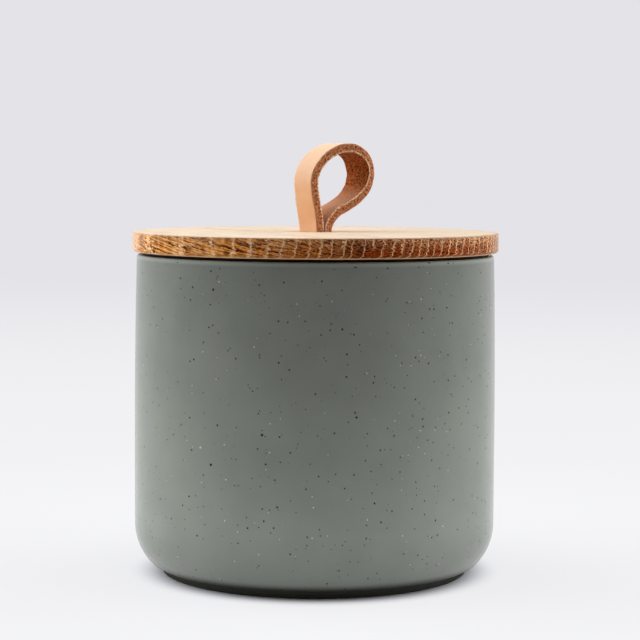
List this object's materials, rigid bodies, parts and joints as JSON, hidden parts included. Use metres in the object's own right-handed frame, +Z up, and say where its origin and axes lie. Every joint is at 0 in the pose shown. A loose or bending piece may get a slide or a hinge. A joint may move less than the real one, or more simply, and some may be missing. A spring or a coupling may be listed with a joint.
{
  "type": "stoneware kitchen canister",
  "caption": "Straight-sided round glazed jar with a soft base corner, a flat oak plug lid on a silicone seal, and a leather lifting loop screwed under the lid.",
  "frame": {"origin": "centre of the jar's foot ring, on the plane that it stands on", "axes": "+Z up along the jar's axis; the lid's slot runs along Y and the loop stands in the XZ plane, leaning towards +X"},
  "size_m": [0.1456, 0.1456, 0.171],
  "materials": {
    "glazed_stoneware": "satin sage grey glaze with fine dark specks",
    "oiled_oak": "oiled, fine open grain",
    "grey_silicone": "matt moulded silicone",
    "veg_tanned_leather": "natural vegetable tan, smooth grain side out",
    "brass": "turned, lightly brushed"
  },
  "bodies": {
    "jar": {"jar": "glazed_stoneware"},
    "seal": {"seal_ring": "grey_silicone"},
    "lid": {"lid_board": "oiled_oak", "strap_tail_left": "veg_tanned_leather", "strap_tail_right": "veg_tanned_leather", "cup_washer_left": "brass", "cup_washer_right": "brass", "tail_screw_left": "brass", "tail_screw_right": "brass"},
    "loop": {"strap_loop": "veg_tanned_leather"}
  },
  "joints": [
    {"name": "lid_lift", "type": "slide", "parent": "jar", "child": "seal", "axis": [0, 0, 1], "range_m": [0, 0.06]},
    {"name": "lid_turn", "type": "hinge", "parent": "seal", "child": "lid", "pos_m": [0, 0, 0.1279], "axis": [0, 0, 1], "continuous": true},
    {"name": "loop_lean", "type": "hinge", "parent": "lid", "child": "loop", "pos_m": [0, 0, 0.1378], "axis": [0, 1, 0], "range_deg": [-25, 25], "stiffness_Nm_per_rad": 0.08}
  ]
}
